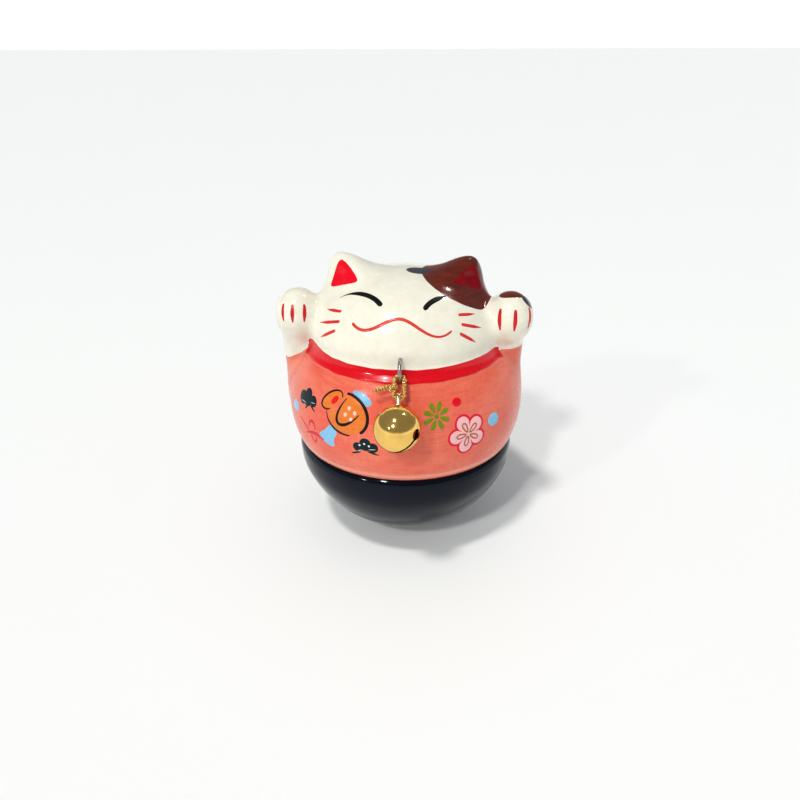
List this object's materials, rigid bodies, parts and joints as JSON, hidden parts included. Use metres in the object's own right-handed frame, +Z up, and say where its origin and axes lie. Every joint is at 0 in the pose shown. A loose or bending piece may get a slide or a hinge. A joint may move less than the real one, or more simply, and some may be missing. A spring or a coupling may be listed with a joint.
{
  "type": "beckoning cat figurine",
  "caption": "Round porcelain cat with both paws raised, cemented on a weighted rocking base, with a bell on a gold cord under its chin.",
  "frame": {"origin": "middle of the small flat under the round base", "axes": "+Z up, -Y the way the cat faces, +X to the right of someone facing the cat"},
  "size_m": [0.061, 0.0699, 0.0738],
  "materials": {
    "white_glaze": "gloss white glaze, painted salmon pink below a red collar",
    "black_glaze": "gloss black glaze",
    "cement": "cured off-white adhesive cement",
    "cast_iron": "rough casting",
    "plaster": "set plaster",
    "steel_wire": "dull grey wire",
    "gold_cord": "twisted metallic thread",
    "gilt_brass": "polished",
    "bright_steel": "polished ball"
  },
  "bodies": {
    "figure": {"cat_casting": "white_glaze", "base_bowl": "black_glaze", "seam_cement": "cement", "iron_weight": "cast_iron", "plaster_bed": "plaster", "wire_eye": "steel_wire", "eye_cement": "cement"},
    "cord": {"gold_cord": "gold_cord"},
    "bell": {"bell_crown": "gilt_brass", "bell_cup": "gilt_brass", "bell_shank": "gilt_brass"},
    "pellet": {"bell_pellet": "bright_steel"}
  },
  "joints": [
    {"name": "cord_swing", "type": "hinge", "parent": "figure", "child": "cord", "pos_m": [0.0003, -0.025, 0.0537], "axis": [-1, 0, 0], "range_deg": [0, 70]},
    {"name": "bell_swing", "type": "hinge", "parent": "cord", "child": "bell", "pos_m": [0.0003, -0.02896, 0.05], "axis": [0, -0.682, 0.7314], "range_deg": [-28, 28]},
    {"name": "pellet_roll", "type": "hinge", "parent": "bell", "child": "pellet", "pos_m": [0.0003, -0.0348, 0.04456], "axis": [0, 1, 0], "range_deg": [-60, 60]}
  ]
}
